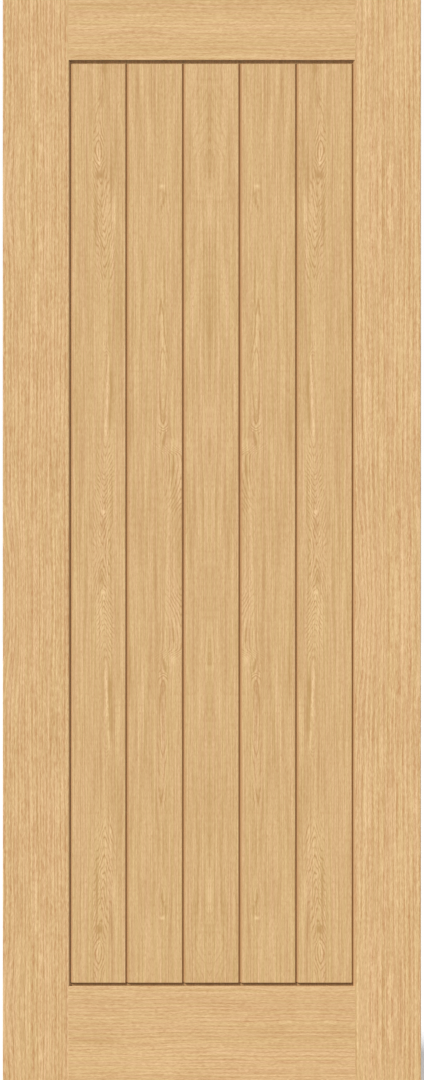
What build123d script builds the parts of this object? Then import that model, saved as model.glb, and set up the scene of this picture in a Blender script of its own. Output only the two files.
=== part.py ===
from build123d import *
import os

# A boarded oak door leaf: two stiles, two rails, and five tongued and grooved boards.
#
# The leaf stands upright. X runs across its width, Y through its thickness and Z up. The origin is
# the middle of its bottom edge. The face towards -Y is the front, and the back is the same.
#
# The stiles run the full height and are chamfered along their inner arrises. The rails fit between
# them. Each rail end is scribed over the chamfers, has a stub tenon in the stile's groove, and is
# pulled up with fluted dowels. The boards float in a groove that runs round the inside of the
# frame. They meet each other and the stiles in V joints, and a recess shows at their ends.

# The leaf, in millimetres
LEAF_HEIGHT = 1981.0
LEAF_WIDTH = 762.0
LEAF_THICKNESS = 35.0
OUTER_ARRIS_RADIUS = 1.5

# The frame
STILE_FACE_WIDTH = 120.0  # the flat face, up to the chamfer
STILE_CHAMFER = 3.3
TOP_RAIL_HEIGHT = 116.0
BOTTOM_RAIL_HEIGHT = 178.0
RAIL_ARRIS = 0.6

# The groove round the inside of the frame, and the tongues and stub tenons that sit in it
TONGUE_THICKNESS = 14.0
TONGUE_SIDE_CLEARANCE = 0.15
GROOVE_DEPTH = 12.0
BOARD_TONGUE_END_CLEARANCE = 1.5
STUB_TENON_END_CLEARANCE = 0.5

# The boards
BOARD_COUNT = 5
BOARD_THICKNESS = 31.0
BOARD_JOINT_GAP = 0.3
VEE_WIDTH = 6.6
VEE_DEPTH = 4.0
EDGE_TONGUE_THICKNESS = 9.0
EDGE_TONGUE_LENGTH = 8.0
EDGE_TONGUE_CHAMFER = 1.0
EDGE_TONGUE_END_CLEARANCE = 1.2
END_RECESS_WIDTH = 6.6
END_RECESS_DEPTH = 5.0  # below the board's face
END_SHOULDER_GAP = 0.3

# The dowels between the rails and the stiles
TOP_RAIL_DOWELS = 2  # in each end of the rail
BOTTOM_RAIL_DOWELS = 3
DOWEL_DIAMETER = 10.0
DOWEL_LENGTH = 100.0
DOWEL_CHAMFER = 1.2
DOWEL_SIDE_CLEARANCE = 0.05
DOWEL_END_CLEARANCE = 1.5
FLUTE_COUNT = 8
FLUTE_WIDTH = 1.6
FLUTE_DEPTH = 0.6

# Places worked out from the sizes above. The leaf is the same on both sides of its middle planes.
LEAF_FACE = LEAF_THICKNESS / 2
LEAF_EDGE = LEAF_WIDTH / 2
STILE_FACE_EDGE = LEAF_EDGE - STILE_FACE_WIDTH
STILE_SHOULDER = STILE_FACE_EDGE - STILE_CHAMFER
GROOVE_FLOOR = STILE_SHOULDER + GROOVE_DEPTH
GROOVE_SIDE = TONGUE_THICKNESS / 2 + TONGUE_SIDE_CLEARANCE
OPENING_BOTTOM = BOTTOM_RAIL_HEIGHT
OPENING_TOP = LEAF_HEIGHT - TOP_RAIL_HEIGHT
BOARD_PITCH = 2 * STILE_SHOULDER / BOARD_COUNT
BOARD_FACE = BOARD_THICKNESS / 2
BOARD_TONGUE_LENGTH = GROOVE_DEPTH - BOARD_TONGUE_END_CLEARANCE


def block(x, y, z):
    """A box between two limits on each axis. Each pair of limits may come in either order."""
    size = [abs(limits[1] - limits[0]) for limits in (x, y, z)]
    middle = [(limits[0] + limits[1]) / 2 for limits in (x, y, z)]
    return Pos(*middle) * Box(*size)


def upright(points, low, high):
    """A closed outline in X and Y, drawn up from one height to another."""
    outline = make_face(Polyline(*points, close=True))
    return Pos(0, 0, low) * extrude(outline, high - low, dir=(0, 0, 1))


def dowel_heights(low, high, count):
    """The dowels of one joint, shared out evenly over the rail beyond its groove."""
    room = high - low - 2 * GROOVE_DEPTH
    return [low + GROOVE_DEPTH + room * (step + 0.5) / count for step in range(count)]


def dowel_holes(side, heights):
    """One hole for each height, bored to the same depth in the rail and in the stile."""
    radius = DOWEL_DIAMETER / 2 + DOWEL_SIDE_CLEARANCE
    hole = Cylinder(radius, DOWEL_LENGTH + 2 * DOWEL_END_CLEARANCE, rotation=(0, 90, 0))
    return [Pos(side * STILE_SHOULDER, 0, height) * hole for height in heights]


def stile(side, heights):
    """One stile, on the left for side -1 and on the right for 1."""
    outline = [
        (STILE_SHOULDER, LEAF_FACE - STILE_CHAMFER),
        (STILE_FACE_EDGE, LEAF_FACE),
        (LEAF_EDGE, LEAF_FACE),
        (LEAF_EDGE, -LEAF_FACE),
        (STILE_FACE_EDGE, -LEAF_FACE),
        (STILE_SHOULDER, STILE_CHAMFER - LEAF_FACE),
        (STILE_SHOULDER, -GROOVE_SIDE),
        (GROOVE_FLOOR, -GROOVE_SIDE),
        (GROOVE_FLOOR, GROOVE_SIDE),
        (STILE_SHOULDER, GROOVE_SIDE),
    ]
    piece = upright([(side * x, y) for x, y in outline], 0, LEAF_HEIGHT)
    outer_edge = side * LEAF_EDGE
    outer_arrises = piece.edges().filter_by(Axis.Z).filter_by_position(Axis.X, outer_edge, outer_edge)
    piece = fillet(outer_arrises, OUTER_ARRIS_RADIUS)
    return piece - dowel_holes(side, heights)


def rail(low, high, inner, heights):
    """One rail between two heights. The one called inner is the edge that holds the boards."""
    scribed = [
        (-STILE_FACE_EDGE, -LEAF_FACE),
        (STILE_FACE_EDGE, -LEAF_FACE),
        (STILE_SHOULDER, STILE_CHAMFER - LEAF_FACE),
        (STILE_SHOULDER, LEAF_FACE - STILE_CHAMFER),
        (STILE_FACE_EDGE, LEAF_FACE),
        (-STILE_FACE_EDGE, LEAF_FACE),
        (-STILE_SHOULDER, LEAF_FACE - STILE_CHAMFER),
        (-STILE_SHOULDER, STILE_CHAMFER - LEAF_FACE),
    ]
    piece = upright(scribed, low, high)
    face_arrises = piece.edges().filter_by(Axis.X).filter_by_position(Axis.Z, inner, inner)
    piece = chamfer(face_arrises, RAIL_ARRIS)

    tenon_end = GROOVE_FLOOR - STUB_TENON_END_CLEARANCE
    tenon_side = TONGUE_THICKNESS / 2
    piece += block((-tenon_end, tenon_end), (-tenon_side, tenon_side), (low, high))

    groove_floor = inner + GROOVE_DEPTH if inner == low else inner - GROOVE_DEPTH
    piece -= block((-LEAF_EDGE, LEAF_EDGE), (-GROOVE_SIDE, GROOVE_SIDE), (inner, groove_floor))
    for side in (-1, 1):
        piece -= dowel_holes(side, heights)
    return piece


def frame_tongue_edge(shoulder, way):
    """The front half of a board edge with the tongue that sits in a stile."""
    tongue_side = TONGUE_THICKNESS / 2
    return [(shoulder + way * BOARD_TONGUE_LENGTH, tongue_side), (shoulder, tongue_side)]


def grooved_edge(shoulder):
    """The front half of a left edge, with the groove for the next board's tongue."""
    groove_side = EDGE_TONGUE_THICKNESS / 2 + TONGUE_SIDE_CLEARANCE
    groove_floor = shoulder + EDGE_TONGUE_LENGTH - BOARD_JOINT_GAP + EDGE_TONGUE_END_CLEARANCE
    return [(groove_floor, groove_side), (shoulder, groove_side)]


def tongued_edge(shoulder):
    """The front half of a right edge, with the tongue that sits in the next board."""
    tongue_side = EDGE_TONGUE_THICKNESS / 2
    tip = shoulder + EDGE_TONGUE_LENGTH
    return [
        (tip, tongue_side - EDGE_TONGUE_CHAMFER),
        (tip - EDGE_TONGUE_CHAMFER, tongue_side),
        (shoulder, tongue_side),
    ]


def board(number):
    """One board, counted from 0 on the left, with a recess and a tongue worked on each end."""
    left = -STILE_SHOULDER + number * BOARD_PITCH + BOARD_JOINT_GAP / 2
    right = left + BOARD_PITCH - BOARD_JOINT_GAP
    bevel = (VEE_WIDTH - BOARD_JOINT_GAP) / 2
    left_edge = frame_tongue_edge(left, -1) if number == 0 else grooved_edge(left)
    right_edge = frame_tongue_edge(right, 1) if number == BOARD_COUNT - 1 else tongued_edge(right)
    left_bevel = [(left, BOARD_FACE - VEE_DEPTH), (left + bevel, BOARD_FACE)]
    right_bevel = [(right - bevel, BOARD_FACE), (right, BOARD_FACE - VEE_DEPTH)]
    half = left_edge + left_bevel + right_bevel + right_edge[::-1]
    outline = half + [(x, -y) for x, y in reversed(half)]
    piece = upright(outline, OPENING_BOTTOM - BOARD_TONGUE_LENGTH, OPENING_TOP + BOARD_TONGUE_LENGTH)

    across = (-LEAF_EDGE, LEAF_EDGE)
    recess_floor = BOARD_FACE - END_RECESS_DEPTH
    tongue_side = TONGUE_THICKNESS / 2
    for opening_edge, inward in ((OPENING_BOTTOM, 1), (OPENING_TOP, -1)):
        groove_floor = opening_edge - inward * GROOVE_DEPTH
        recess = (groove_floor, opening_edge + inward * END_RECESS_WIDTH)
        tongue = (groove_floor, opening_edge + inward * END_SHOULDER_GAP)
        for face in (-1, 1):
            piece -= block(across, (face * recess_floor, face * LEAF_FACE), recess)
            piece -= block(across, (face * tongue_side, face * LEAF_FACE), tongue)
    return piece


def dowel():
    """A dowel along X with V flutes and chamfered ends, its middle at the origin."""
    radius = DOWEL_DIAMETER / 2
    pin = Cylinder(radius, DOWEL_LENGTH)
    pin = chamfer(pin.edges().filter_by(GeomType.CIRCLE), DOWEL_CHAMFER)
    flute_outline = [
        (radius - FLUTE_DEPTH, 0),
        (radius + FLUTE_DEPTH, FLUTE_WIDTH),
        (radius + FLUTE_DEPTH, -FLUTE_WIDTH),
    ]
    flute = upright(flute_outline, -DOWEL_LENGTH / 2, DOWEL_LENGTH / 2)
    flutes = [Rot(0, 0, 360 * turn / FLUTE_COUNT) * flute for turn in range(FLUTE_COUNT)]
    return Rot(0, 90, 0) * (pin - flutes)


def main():
    bottom = dowel_heights(0, OPENING_BOTTOM, BOTTOM_RAIL_DOWELS)
    top = dowel_heights(OPENING_TOP, LEAF_HEIGHT, TOP_RAIL_DOWELS)
    parts = {
        "left_stile": stile(-1, bottom + top),
        "right_stile": stile(1, bottom + top),
        "bottom_rail": rail(0, OPENING_BOTTOM, OPENING_BOTTOM, bottom),
        "top_rail": rail(OPENING_TOP, LEAF_HEIGHT, OPENING_TOP, top),
    }
    for number in range(BOARD_COUNT):
        parts[f"board_{number + 1}"] = board(number)

    pin = dowel()
    for rail_name, heights in (("bottom", bottom), ("top", top)):
        for side_name, side in (("left", -1), ("right", 1)):
            for count, height in enumerate(heights, start=1):
                name = f"{rail_name}_{side_name}_dowel_{count}"
                parts[name] = Pos(side * STILE_SHOULDER, 0, height) * pin

    os.makedirs("parts", exist_ok=True)
    for name, piece in parts.items():
        export_step(piece, f"parts/{name}.step")


main()
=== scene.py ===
import math

import bpy
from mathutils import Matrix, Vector


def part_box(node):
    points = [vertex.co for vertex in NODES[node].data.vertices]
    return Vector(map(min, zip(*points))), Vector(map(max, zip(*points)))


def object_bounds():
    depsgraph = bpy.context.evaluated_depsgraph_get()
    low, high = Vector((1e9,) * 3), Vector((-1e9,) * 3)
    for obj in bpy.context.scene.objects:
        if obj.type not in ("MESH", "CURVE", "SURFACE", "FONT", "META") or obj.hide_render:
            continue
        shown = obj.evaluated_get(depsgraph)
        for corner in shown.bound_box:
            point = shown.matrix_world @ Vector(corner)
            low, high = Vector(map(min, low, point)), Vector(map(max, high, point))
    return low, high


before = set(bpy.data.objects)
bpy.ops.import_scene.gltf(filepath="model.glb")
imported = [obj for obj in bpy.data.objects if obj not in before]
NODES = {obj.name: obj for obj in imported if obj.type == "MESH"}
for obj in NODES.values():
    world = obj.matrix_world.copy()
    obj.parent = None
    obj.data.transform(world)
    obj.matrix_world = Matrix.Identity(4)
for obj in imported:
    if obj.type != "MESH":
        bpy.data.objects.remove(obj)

# The looks of a boarded oak door leaf. The frame gives every piece at its real size, so this script
# adds finishes, light, a floor and a camera. The wood is described in millimetres, and the studio
# in metres.

cad_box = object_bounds()
MM = 1000.0

# Where the leaf lies in the photograph, which crops it a little at its top and its bottom
PHOTO_WIDTH = 424
PHOTO_HEIGHT = 1080
LEAF_LEFT_PX = 2.75
LEAF_RIGHT_PX = 421.05
LEAF_MIDDLE_PX = 540.3

# The camera is far off, so that no side of the leaf shows
CAMERA_DISTANCE = 14.0
CAMERA_SENSOR_MM = 36.0
CAMERA_CLIP_END = 200.0

# The main light comes from the upper left of someone in front of the leaf, and the second one from
# lower down on the left of someone behind it. Each is (to their left, up) for every metre towards
# them.
FRONT_LIGHT = (0.70, 1.0)
FRONT_STRENGTH = 3.9
BACK_LIGHT = (0.70, 0.30)
BACK_STRENGTH = 2.76
LIGHT_ANGLE_DEG = 15.0
SKY_STRENGTH = 0.26
FLOOR_SIZE = 120.0


class Field:
    """A number that varies over a surface. Arithmetic on it adds nodes to its material."""

    def __init__(self, tree, socket):
        self.tree = tree
        self.socket = socket

    def math(self, operation, *values):
        node = self.tree.nodes.new("ShaderNodeMath")
        node.operation = operation
        connect(self.tree, node.inputs[0], self)
        for socket, value in zip(node.inputs[1:], values):
            connect(self.tree, socket, value)
        return Field(self.tree, node.outputs[0])

    def __add__(self, other):
        return self.math("ADD", other)

    def __sub__(self, other):
        return self.math("SUBTRACT", other)

    def __mul__(self, other):
        return self.math("MULTIPLY", other)

    def __truediv__(self, other):
        return self.math("DIVIDE", other)

    def __neg__(self):
        return self * -1.0

    def __rsub__(self, other):
        return -self + other

    def __abs__(self):
        return self.math("ABSOLUTE")

    def squared(self):
        return self * self

    def root(self):
        return self.math("SQRT")

    def at_most(self, limit):
        return self.math("MINIMUM", limit)

    def at_least(self, limit):
        return self.math("MAXIMUM", limit)

    def fading(self):
        """1 where this field is 0, and fading to nothing as it grows."""
        return (-self).math("EXPONENT")

    def between(self, low, high):
        """0 up to low, 1 from high on, and a smooth step from one to the other."""
        node = self.tree.nodes.new("ShaderNodeMapRange")
        node.interpolation_type = "SMOOTHSTEP"
        connect(self.tree, node.inputs["Value"], self)
        node.inputs["From Min"].default_value = low
        node.inputs["From Max"].default_value = high
        return Field(self.tree, node.outputs["Result"])

    def along_curve(self, points):
        """The value of a smooth curve through (place, value) points, level beyond its ends."""
        first, last = points[0][0], points[-1][0]
        values = [value for place, value in points]
        low, high = min(values), max(values)
        node = self.tree.nodes.new("ShaderNodeFloatCurve")
        curve = node.mapping.curves[0]
        scaled = [
            ((place - first) / (last - first), (value - low) / (high - low))
            for place, value in points
        ]
        curve.points[0].location = scaled[0]
        curve.points[1].location = scaled[-1]
        for location in scaled[1:-1]:
            curve.points.new(*location)
        for point in curve.points:
            point.handle_type = "AUTO_CLAMPED"
        node.mapping.update()
        connect(self.tree, node.inputs["Value"], (self - first) / (last - first))
        return Field(self.tree, node.outputs["Value"]) * (high - low) + low


def connect(tree, socket, value):
    """Links a field or a plain socket into a node's socket, or sets the socket's own number."""
    if isinstance(value, Field):
        tree.links.new(value.socket, socket)
    elif isinstance(value, bpy.types.NodeSocket):
        tree.links.new(value, socket)
    else:
        socket.default_value = value


def split(tree, vector):
    """The three parts of a vector, as fields."""
    node = tree.nodes.new("ShaderNodeSeparateXYZ")
    tree.links.new(vector, node.inputs[0])
    return [Field(tree, socket) for socket in node.outputs]


def noise(tree, place, size, seeds=(0, 0, 0), detail=2.0, roughness=0.5):
    """Noise from 0 to 1 over a place of three fields.

    size is how large one grain of it is along each of them, and seeds shift it along them.
    """
    corner = tree.nodes.new("ShaderNodeCombineXYZ")
    for socket, value, length, seed in zip(corner.inputs, place, size, seeds):
        value = value / length
        connect(tree, socket, value + seed if seed else value)
    node = tree.nodes.new("ShaderNodeTexNoise")
    tree.links.new(corner.outputs[0], node.inputs["Vector"])
    node.inputs["Scale"].default_value = 1.0
    node.inputs["Detail"].default_value = detail
    node.inputs["Roughness"].default_value = roughness
    return Field(tree, node.outputs[0])


def drift(tree, place, size, distance, seeds=(0, 0, 0)):
    """How far a line wanders there, by half of distance at most to either side."""
    return (noise(tree, place, size, seeds) - 0.5) * distance


def mix(tree, amount, first, second):
    """A colour between two others."""
    node = tree.nodes.new("ShaderNodeMix")
    node.data_type = "RGBA"
    connect(tree, node.inputs["Factor"], amount)
    for name, value in (("A", first), ("B", second)):
        socket = next(s for s in node.inputs if s.name == name and s.type == "RGBA")
        connect(tree, socket, value)
    return next(s for s in node.outputs if s.type == "RGBA")


def srgb(red, green, blue):
    """The colour that shows as these 0 to 255 values."""
    def linear(value):
        share = value / 255
        return share / 12.92 if share <= 0.04045 else ((share + 0.055) / 1.055) ** 2.4
    return (linear(red), linear(green), linear(blue), 1.0)


# The pale and the dark wood are each given twice, pinker and yellower
PALE = (srgb(238, 201, 154), srgb(236, 205, 150))
DARK = (srgb(193, 151, 102), srgb(191, 155, 98))
PORE = srgb(184, 125, 72)
# Painted shade for the slopes of the V joints and the stiles' inner chamfers
V_JOINT_SHADE = srgb(186, 144, 100)
# The end grain's colour, which on the boards' ends is also painted shade in their recess
END_GRAIN_AND_SHADE = srgb(160, 122, 80)
# Painted shade for the recess at the boards' lower ends
RECESS_SHADE = srgb(128, 92, 56)
BEECH = srgb(214, 178, 138)
BEECH_FLECK = srgb(186, 142, 100)
WHITE = (1, 1, 1, 1)
FLOOR_SEEN = srgb(230, 230, 230)
FLOOR_FOR_LIGHT = srgb(96, 96, 96)
FLOOR_ROUGHNESS = 0.9


def new_material(name):
    material = bpy.data.materials.new(name)
    material.use_nodes = True
    tree = material.node_tree
    tree.nodes.clear()
    output = tree.nodes.new("ShaderNodeOutputMaterial")
    shader = tree.nodes.new("ShaderNodeBsdfPrincipled")
    tree.links.new(shader.outputs[0], output.inputs["Surface"])
    return material, tree, shader


def position(tree):
    """The place on the leaf in millimetres, as three fields."""
    place = tree.nodes.new("ShaderNodeTexCoord").outputs["Object"]
    return [metres * MM for metres in split(tree, place)]


def facing(tree, axis):
    """How much the surface faces one way or the other along x (0), y (1) or z (2), up to 1."""
    normal = tree.nodes.new("ShaderNodeTexCoord").outputs["Normal"]
    return abs(split(tree, normal)[axis])


def line(phase):
    """1 where the phase is a whole number, easing to 0 half-way to the next."""
    return (phase.math("FRACT") - 0.5).squared() * 4.0


def end_grain_and_shade(tree, amount):
    """The stain on a piece's ends, which have soaked up the lacquer. On the boards' ends, in the
    recess by the rails, it is painted shade as well.
    """
    return facing(tree, 2).between(0.6, 0.9) * amount, END_GRAIN_AND_SHADE


# How dark plain wood is, as a share of the way from PALE to DARK
MEAN_SHADE = 0.47

# The clear satin lacquer, which follows the fibres and the pores. The relief's depth is in metres.
LACQUER_SPECULAR = 0.35
LACQUER_ROUGHNESS = 0.46
FIBRE_ROUGHNESS = 0.12
PORE_ROUGHNESS = 0.16
RELIEF_STRENGTH = 0.35
RELIEF_DEPTH = 0.00012
FIBRE_RELIEF = 0.5

# How much a row gathers the pores in it, and how dark the finest pores are
PORE_CROWDING = 0.1
FINE_PORE_STRENGTH = 0.5

# What differs between the three kinds of piece: how far its lines stray, how strong and how long
# its long lines are, and how strong its short ones are
STILE_TEXTURE = dict(waver=1.6, long_strength=1.1, long_length=150, short_strength=0.7)
RAIL_TEXTURE = dict(waver=1.0, long_strength=0.58, long_length=110, short_strength=0.45)
BOARD_TEXTURE = dict(waver=0.8, long_strength=0.85, long_length=130, short_strength=0.45)


def oak(tree, shader, place, seed, texture, dashes, crowding, figure, stains_and_shade):
    """The finish that all the oak shares.

    place is where the wood is across the grain, through the leaf and along the grain. dashes are
    its larger pore marks, crowding gathers all pores where it is 1, and figure darkens the wood.
    Each stain or painted shade is an amount and a colour: painted shade on the slopes of a V joint,
    the stain of end grain that has soaked up the lacquer, which on the boards' ends is painted shade
    in their recess as well, and painted shade in the recess at the boards' lower ends.
    """
    across, through, along = place
    across = across + drift(tree, place, size=(11, 30, 24), distance=texture["waver"])

    def grains(width, length, shift, detail=1.0, roughness=0.5):
        """Noise from 0 to 1 with grains of this size. Each use has a shift of its own."""
        size = (width, width, length)
        seeds = (seed + shift, 0, 0)
        return noise(tree, (across, through, along), size, seeds, detail, roughness)

    layers = [
        (0.2, grains(width=34, length=520, shift=3.1)),
        (0.2, grains(width=14, length=90, shift=8.3, detail=2.0)),
        (0.35, grains(width=3.4, length=110, shift=7.7)),
        (texture["long_strength"],
         grains(width=1.6, length=texture["long_length"], shift=4.4, detail=0.0)),
        (texture["short_strength"], grains(width=1.5, length=9, shift=6.6, detail=0.0)),
    ]
    fibres = grains(width=0.4, length=5, shift=1.3, detail=2.0, roughness=0.6) - 0.5
    shade = fibres * 0.5 + figure + MEAN_SHADE
    for strength, layer in layers:
        shade = shade + (layer - 0.5) * strength
    shade = shade.at_least(0.0).at_most(1.0)
    hue = grains(width=5.5, length=260, shift=12.4, detail=2.0).between(0.25, 0.75)
    wood = mix(tree, shade, mix(tree, hue, *PALE), mix(tree, hue, *DARK))

    gather = crowding * PORE_CROWDING
    marks = (grains(width=1.4, length=dashes["length"], shift=5.9) + gather).between(0.52, 0.68)
    marked_parts = (grains(width=24, length=130, shift=9.2) + gather).between(0.3, 0.62)
    pores = (grains(width=0.42, length=7, shift=2.2) + gather).between(0.57, 0.64)
    marks = marks * marked_parts * dashes["strength"] + pores * FINE_PORE_STRENGTH
    marks = marks.at_most(1.0)
    wood = mix(tree, marks, wood, PORE)
    # Stains and painted shade go over the wood's colour here
    for amount, colour in stains_and_shade:
        wood = mix(tree, amount, wood, colour)
    connect(tree, shader.inputs["Base Color"], wood)

    roughness = fibres * FIBRE_ROUGHNESS + marks * PORE_ROUGHNESS + LACQUER_ROUGHNESS
    connect(tree, shader.inputs["Roughness"], roughness)
    bump = tree.nodes.new("ShaderNodeBump")
    bump.inputs["Strength"].default_value = RELIEF_STRENGTH
    bump.inputs["Distance"].default_value = RELIEF_DEPTH
    connect(tree, bump.inputs["Height"], fibres * FIBRE_RELIEF - marks)
    tree.links.new(bump.outputs[0], shader.inputs["Normal"])
    shader.inputs["Specular IOR Level"].default_value = LACQUER_SPECULAR


# Where the frame's pieces lie, in millimetres
left_stile_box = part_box("left_stile")
STILE_CHAMFER = 3.3
STILE_FACE_EDGE = -left_stile_box[1][0] * MM + STILE_CHAMFER
BOARD_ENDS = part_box("bottom_rail")[1][2] * MM

# The stiles' figure is mirrored about a level line, and again each STILE_REPEAT above and below it
STILE_MIRROR_Z = 877.5
STILE_REPEAT = 738.0

# The rails' figure is mirrored about this upright line
RAIL_MIRROR_X = 174.8

# The boards were cut from one flitch and opened like a book, so their figure is mirrored about an
# upright line near the middle of the leaf and about a level one near its middle height.
BOOK_X = -4.2
BOOK_Z = 969.0

# How much darker the wood is along the rows that its growth rings make, and how uneven they are
STILE_ROW_DARKNESS = 0.16
RAIL_ROW_DARKNESS = 0.12
ROW_UNEVENNESS = 2.4

# How strong the stain is on the stiles' ends, the stain and painted shade on the boards' ends, and
# the painted shade on the slopes of a V joint
STILE_END_STAIN = 0.5
BOARD_END_STAIN_AND_SHADE = 1.0
V_JOINT_SHADE_STRENGTH = 0.75

# Painted shade lies in the recess at the boards' lower ends: nearer to the leaf's middle plane than
# their faces are, and up to this height
RECESS_SHADE_STRENGTH = 0.6
RECESS_SHADE_FACE = 14.0
RECESS_SHADE_HEIGHT = BOARD_ENDS + 8.0


def stile_material(name, seed, tone, heart, ring, dashes, sway):
    """Nearly straight grain with short pore marks in rows.

    The rows are ring apart and circle the tree's heart, which is beyond the stile at heart, an x
    and a y. The figure is mirrored about STILE_MIRROR_Z, where the lines sway to the right. sway
    says where they sway furthest, where they stay straight, how far they sway, and in shares how
    much of that is left at each height from the mirror.
    """
    material, tree, shader = new_material(name)
    x, y, z = position(tree)
    z = (z - STILE_MIRROR_Z).math("PINGPONG", STILE_REPEAT)
    furthest_x, straight_x = sway["furthest_x"], sway["straight_x"]
    swayed = ((x - straight_x) / (furthest_x - straight_x)).between(0.0, 1.0)
    swayed = swayed * z.along_curve(sway["shares"]) * sway["distance"]
    wander = drift(tree, (x, y, z), size=(60, 60, 420), distance=12, seeds=(seed, 0, 0)) - swayed
    heart_x, heart_y = heart
    distance = ((x - heart_x + wander).squared() + (y - heart_y).squared()).root()
    uneven = drift(tree, (x, y, z), (20, 60, 700), ROW_UNEVENNESS, seeds=(seed, 0, 0))
    rows = line(distance / ring + uneven)
    # The stiles' inner chamfers, one slope of a V joint, get painted shade
    chamfer = (STILE_FACE_EDGE - abs(x)).between(0.0, 0.4)
    stains_and_shade = [end_grain_and_shade(tree, STILE_END_STAIN), (chamfer * V_JOINT_SHADE_STRENGTH, V_JOINT_SHADE)]
    place = (x + wander, y, z)
    figure = rows * STILE_ROW_DARKNESS + tone
    oak(tree, shader, place, seed, STILE_TEXTURE, dashes, rows, figure, stains_and_shade)
    return material


def rail_material(name, seed, tone, heart, ring, dashes, bands):
    """The same oak with its grain lying level and wavering a little.

    heart is a z and a y. A band of darker wood, or paler where its last number is negative, is
    (height, half width, darkness).
    """
    material, tree, shader = new_material(name)
    x, y, z = position(tree)
    x = abs(x - RAIL_MIRROR_X)
    wander = drift(tree, (x, y, z), size=(200, 60, 60), distance=14, seeds=(0, 0, seed))
    heart_z, heart_y = heart
    distance = ((z - heart_z + wander).squared() + (y - heart_y).squared()).root()
    uneven = drift(tree, (x, y, z), (700, 60, 20), ROW_UNEVENNESS, seeds=(0, 0, seed))
    rows = line(distance / ring + uneven)
    figure = rows * RAIL_ROW_DARKNESS + tone
    for height, width, darkness in bands:
        figure = ((z - height + wander) / width).squared().fading() * darkness + figure
    oak(tree, shader, (z + wander, y, x), seed, RAIL_TEXTURE, dashes, rows, figure, [])
    return material


# The crown-cut figure: its points are rounded by the root of TIP_ROUNDING in millimetres, its lines
# move sideways through the thickness, and it fades over the outer part of its width. Its faintest
# lines keep a share of their strength. MEAN_LINE is their mean darkness, which is taken off again
# so that the figure leaves the board's tone as it is.
TIP_ROUNDING = 3.0
LINES_PER_MM_DEEP = 0.2
FADING_WIDTH = 0.6
FAINTEST_LINE = 0.25
MEAN_LINE = 0.16
BOARD_TONE = 0.12
BOARD_DASHES = dict(length=16, strength=0.15)

# How far the plain grain bends round a knot, as a share of how far beside it that grain lies
KNOT_BEND = 0.6


def board_material(name, seed, axis, rise, strength, reach, pitch, unrest, spots, knots):
    """Crown-cut grain. Nested points and eyes run up the board where the heart came near its face.

    axis, rise, strength and reach are curves of (height from BOOK_Z, value) points: how far from
    BOOK_X the figure lies, by how many lines it rises, how strongly it shows, and how wide it is
    to each side. Its lines are pitch apart at its sides, and unrest makes them uneven. A spot is
    darker wood, or paler where its last number is negative: (from BOOK_X, from BOOK_Z, half width,
    half length, darkness). A knot, which the plain grain bends round, is the same without a
    darkness.
    """
    material, tree, shader = new_material(name)
    x, y, z = position(tree)
    u = abs(x - BOOK_X)
    w = abs(z - BOOK_Z)
    place = (u, y, w)
    wander = drift(tree, place, size=(40, 45, 260), distance=5, seeds=(seed, 0, 0))
    wiggle = drift(tree, place, size=(8, 30, 28), distance=2.4, seeds=(0, 0, seed))
    ripple = drift(tree, place, size=(12, 30, 50), distance=unrest, seeds=(seed, 0, 0))
    unbroken = noise(tree, place, size=(6, 30, 22), seeds=(0, 0, seed)).between(0.32, 0.58)

    beside = ((u - w.along_curve(axis) + wiggle).squared() + TIP_ROUNDING).root()
    phase = beside / pitch + w.along_curve(rise) + ripple + y * LINES_PER_MM_DEEP
    drawn = line(phase).squared() * (unbroken * (1 - FAINTEST_LINE) + FAINTEST_LINE)
    inside = (1.0 - beside / w.along_curve(reach)).between(0.0, FADING_WIDTH)
    shown = w.along_curve(strength) * inside
    figure = (drawn - MEAN_LINE) * shown

    def around(from_x, from_z, width, length):
        """1 in the middle of a spot or a knot, fading outwards."""
        sideways = (u - from_x + wiggle) / width
        lengthways = (w - from_z) / length
        return (sideways.squared() + lengthways.squared()).fading()

    for from_x, from_z, width, length, darkness in spots:
        figure = around(from_x, from_z, width, length) * darkness + figure
    grain_at = u + wander
    for from_x, from_z, width, length in knots:
        aside = u - from_x + wiggle
        grain_at = around(from_x, from_z, width, length) * aside * -KNOT_BEND + grain_at

    # The slopes of the V joints get painted shade
    groove_sides = facing(tree, 0).between(0.3, 0.5)
    # Painted shade in the recess at the boards' lower ends
    recess = (RECESS_SHADE_FACE - abs(y)).between(0.0, 1.0) * (RECESS_SHADE_HEIGHT - z).between(0.0, 1.0)
    stains_and_shade = [
        # The boards' end-grain stain, which also stands for painted shade in their recess
        end_grain_and_shade(tree, BOARD_END_STAIN_AND_SHADE),
        (groove_sides * V_JOINT_SHADE_STRENGTH, V_JOINT_SHADE),
        (recess * RECESS_SHADE_STRENGTH, RECESS_SHADE),
    ]
    place = (grain_at, y, z)
    figure = figure + BOARD_TONE
    oak(tree, shader, place, seed, BOARD_TEXTURE, BOARD_DASHES, drawn * shown, figure, stains_and_shade)
    return material


def beech_material(name):
    """Plain pale beech with fine flecks, for the dowels inside the joints."""
    material, tree, shader = new_material(name)
    flecks = noise(tree, position(tree), size=(4, 0.5, 0.5)).between(0.45, 0.75)
    connect(tree, shader.inputs["Base Color"], mix(tree, flecks, BEECH, BEECH_FLECK))
    connect(tree, shader.inputs["Roughness"], flecks * 0.1 + 0.6)
    return material


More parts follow.
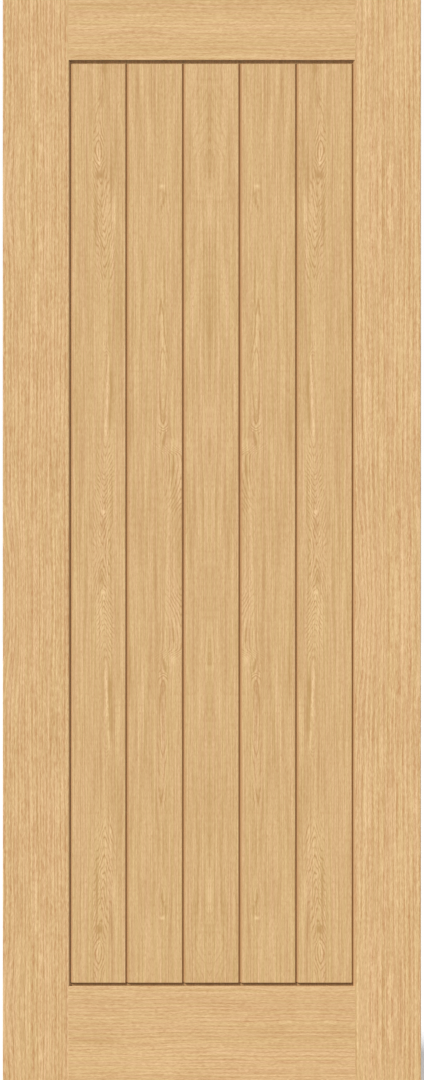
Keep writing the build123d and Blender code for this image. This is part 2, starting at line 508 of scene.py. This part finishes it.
LEFT_STILE = dict(
    seed=2.0,
    tone=-0.08,
    heart=(-560.0, 90.0),
    ring=6.4,
    dashes=dict(length=18, strength=0.32),
    sway=dict(
        furthest_x=-381,
        straight_x=-328,
        distance=18,
        shares=[(0, 1), (50, 0.93), (130, 0.5), (230, 0.05), (420, 0), (600, -0.06), (738, -0.2)],
    ),
)
RIGHT_STILE = dict(
    seed=6.0,
    tone=-0.14,
    heart=(110.0, 70.0),
    ring=8.8,
    dashes=dict(length=36, strength=0.34),
    sway=dict(
        furthest_x=270,
        straight_x=345,
        distance=18,
        shares=[(0, 1), (120, 0.5), (230, 0.08), (420, 0), (640, -0.03), (738, -0.12)],
    ),
)
TOP_RAIL = dict(
    seed=4.0,
    tone=-0.08,
    heart=(1760.0, 80.0),
    ring=6.5,
    dashes=dict(length=30, strength=0.1),
    bands=[(1965, 16, 0.12), (1928, 14, -0.1), (1885, 10, 0.06)],
)
BOTTOM_RAIL = dict(
    seed=9.0,
    tone=-0.11,
    heart=(330.0, 80.0),
    ring=5.8,
    dashes=dict(length=50, strength=0.2),
    bands=[(147, 12, 0.08), (84, 10, 0.1), (50, 14, -0.06)],
)
OUTER_BOARDS = dict(
    seed=11.0,
    axis=[(0, 193.4), (50, 196), (76, 193.5), (204, 189.2), (281, 188.3), (380, 187.4), (466, 190),
          (570, 192.5), (641, 196), (687, 199), (731, 201.6), (836, 197), (900, 195)],
    rise=[(0, 36), (76, 31), (204, 20), (300, 17), (345, 17), (381, 20), (410, 19.5), (466, 16),
          (560, 10.5), (640, 5.5), (701, 2), (731, 0), (765, 2), (830, 4.3), (900, 6)],
    strength=[(0, 0.8), (60, 1.0), (180, 0.8), (220, 0.2), (330, 0.2), (380, 0.5), (420, 0.1),
              (460, 0.2), (520, 1.0), (700, 1.2), (731, 1.5), (760, 1.3), (800, 0.8), (850, 0.4),
              (900, 0.1)],
    reach=[(0, 24), (200, 20), (300, 9), (400, 9), (470, 16), (560, 24), (660, 22), (700, 16),
           (731, 13), (765, 13), (900, 11)],
    pitch=5.2,
    unrest=2.8,
    spots=[(200.2, 687, 7, 8, 0.75), (203.8, 729, 1.8, 7, -0.7), (202, 714, 2.5, 5, -0.5),
           (205.6, 606, 2.6, 60, 0.5), (178.3, 684, 3, 32, 0.4), (174.6, 616, 2.5, 34, -0.4),
           (184, 338, 1.8, 26, -0.55), (186.5, 285, 2.2, 34, -0.6), (189, 230, 2.2, 22, -0.6),
           (179, 306, 3, 36, 0.5), (182, 246, 3, 26, 0.5), (193.4, 73, 3, 6, -0.7),
           (196.5, 48, 6, 15, 0.35), (193, 880, 6, 16, 0.3), (197, 829, 4, 11, 0.4),
           (170, 430, 9, 60, 0.2)],
    knots=[(200.2, 695, 9, 30), (193.4, 73, 7, 24), (186, 285, 6, 60)],
)
INNER_BOARDS = dict(
    seed=23.0,
    axis=[(0, 58), (100, 52), (175, 56), (207, 84.5), (300, 84.5), (380, 85.5), (460, 88),
          (640, 83), (900, 90)],
    rise=[(0, -4.5), (60, -2.5), (191, 3.5), (207, 3.5), (228, 1.2), (250, 0.3), (300, 0),
          (340, 0.2), (381, 1), (490, 2), (600, 3), (900, 5)],
    strength=[(0, 0.1), (60, 0.4), (120, 0.9), (180, 0.9), (207, 0.1), (228, 1.3), (250, 1.1),
              (300, 0.9), (381, 0.9), (480, 0.6), (540, 0.15), (600, 0.1), (640, 0.4), (680, 0.1),
              (900, 0.1)],
    reach=[(0, 42), (160, 42), (200, 22), (228, 12), (300, 12), (381, 12), (480, 14), (900, 16)],
    pitch=6.2,
    unrest=1.3,
    spots=[(80.5, 213, 2, 7, 0.8), (83.5, 203, 2, 8, 0.7), (86.5, 192, 1.5, 8, 0.4),
           (67, 196, 8, 12, -0.3), (84.5, 250, 1.8, 14, 0.5), (81, 652, 2, 8, 0.6),
           (84.5, 640, 1.8, 8, 0.6), (88, 628, 1.6, 8, 0.5), (86, 667, 5, 3, -0.5),
           (131.3, 846, 1.8, 44, 0.5), (123.6, 850, 2.6, 40, -0.25), (64.4, 856, 3, 30, 0.3),
           (145.8, 220, 2.5, 52, 0.4), (98.6, 40, 1.3, 60, 0.4), (103, 835, 8, 50, 0.2)],
    knots=[(81, 205, 12, 26), (84, 640, 10, 28), (84.5, 290, 6, 90)],
)
MIDDLE_BOARD = dict(
    seed=37.0,
    axis=[(0, 0), (450, 0.6), (900, 0)],
    rise=[(0, 1.5), (100, 1), (170, 0), (225, 1), (368, 0), (550, 0), (672, 0), (750, 2.2),
          (900, 7)],
    strength=[(0, 0.1), (300, 0.1), (640, 0.15), (720, 0.35), (840, 0.3), (900, 0.1)],
    reach=[(0, 40), (900, 46)],
    pitch=9.0,
    unrest=2.4,
    spots=[(0, 700, 7, 34, 0.25), (0, 800, 5, 46, 0.15), (0, 560, 1.6, 50, 0.35),
           (0, 420, 4, 70, 0.35), (0, 192, 4, 24, 0.3), (31, 672, 4, 40, 0.15),
           (22, 638, 4, 28, 0.2), (0, 610, 5, 34, -0.25)],
    knots=[(0, 700, 12, 60), (0, 192, 10, 40)],
)


def dress(names, material):
    for name in names:
        for slot in NODES[name].material_slots:
            slot.material = material


def sun(name, light, strength, side):
    """A distant studio light. side is -1 in front of the leaf and 1 behind it."""
    lamp = bpy.data.lights.new(name, "SUN")
    lamp.energy = strength
    lamp.angle = math.radians(LIGHT_ANGLE_DEG)
    holder = bpy.data.objects.new(name, lamp)
    bpy.context.scene.collection.objects.link(holder)
    left, up = light
    holder.rotation_mode = "QUATERNION"
    holder.rotation_quaternion = Vector((side * left, side, up)).to_track_quat("Z", "Y")


def seen_directly(tree):
    """1 for rays that come from the camera or off something shiny, and 0 for the object's light."""
    path = tree.nodes.new("ShaderNodeLightPath")
    direct = Field(tree, path.outputs["Is Camera Ray"])
    direct = direct.at_least(path.outputs["Is Glossy Ray"])
    return direct.at_least(path.outputs["Is Transmission Ray"])


def make_world():
    """White to the eye, and only as strong as the sky's light to the object."""
    world = bpy.data.worlds.new("studio")
    world.use_nodes = True
    tree = world.node_tree
    background = tree.nodes["Background"]
    background.inputs["Color"].default_value = WHITE
    strength = seen_directly(tree) * (1 - SKY_STRENGTH) + SKY_STRENGTH
    connect(tree, background.inputs["Strength"], strength)
    bpy.context.scene.world = world


def make_floor():
    """A wide pale floor. It is white to the eye and greyer to the light that it throws back."""
    mesh = bpy.data.meshes.new("studio_floor")
    half = FLOOR_SIZE / 2
    corners = [(-half, -half, 0), (half, -half, 0), (half, half, 0), (-half, half, 0)]
    mesh.from_pydata(corners, [], [(0, 1, 2, 3)])
    floor = bpy.data.objects.new("studio_floor", mesh)
    bpy.context.scene.collection.objects.link(floor)
    material, tree, shader = new_material("studio_floor")
    colour = mix(tree, seen_directly(tree), FLOOR_FOR_LIGHT, FLOOR_SEEN)
    connect(tree, shader.inputs["Base Color"], colour)
    shader.inputs["Roughness"].default_value = FLOOR_ROUGHNESS
    mesh.materials.append(material)


def make_camera():
    """Square on to the front, from far enough that no side of the leaf shows."""
    low, high = cad_box
    metres_per_px = (high[0] - low[0]) / (LEAF_RIGHT_PX - LEAF_LEFT_PX)
    data = bpy.data.cameras.new("camera")
    data.sensor_width = CAMERA_SENSOR_MM
    data.lens = data.sensor_width * CAMERA_DISTANCE / (metres_per_px * PHOTO_HEIGHT)
    data.clip_end = CAMERA_CLIP_END
    camera = bpy.data.objects.new("camera", data)
    bpy.context.scene.collection.objects.link(camera)
    leaf_middle_px = (LEAF_LEFT_PX + LEAF_RIGHT_PX) / 2
    across = (PHOTO_WIDTH / 2 - leaf_middle_px) * metres_per_px
    up = (LEAF_MIDDLE_PX - PHOTO_HEIGHT / 2) * metres_per_px
    camera.location = (across, low[1] - CAMERA_DISTANCE, (low[2] + high[2]) / 2 + up)
    camera.rotation_euler = (math.radians(90), 0, 0)
    bpy.context.scene.camera = camera


dress(["left_stile"], stile_material("left_stile_oak", **LEFT_STILE))
dress(["right_stile"], stile_material("right_stile_oak", **RIGHT_STILE))
dress(["top_rail"], rail_material("top_rail_oak", **TOP_RAIL))
dress(["bottom_rail"], rail_material("bottom_rail_oak", **BOTTOM_RAIL))
dress(["board_1", "board_5"], board_material("outer_board_oak", **OUTER_BOARDS))
dress(["board_2", "board_4"], board_material("inner_board_oak", **INNER_BOARDS))
dress(["board_3"], board_material("middle_board_oak", **MIDDLE_BOARD))
dress([name for name in NODES if "dowel" in name], beech_material("dowel_beech"))

make_world()
make_floor()
sun("front_light", FRONT_LIGHT, FRONT_STRENGTH, -1)
sun("back_light", BACK_LIGHT, BACK_STRENGTH, 1)
make_camera()
bpy.context.scene.view_settings.view_transform = "Standard"
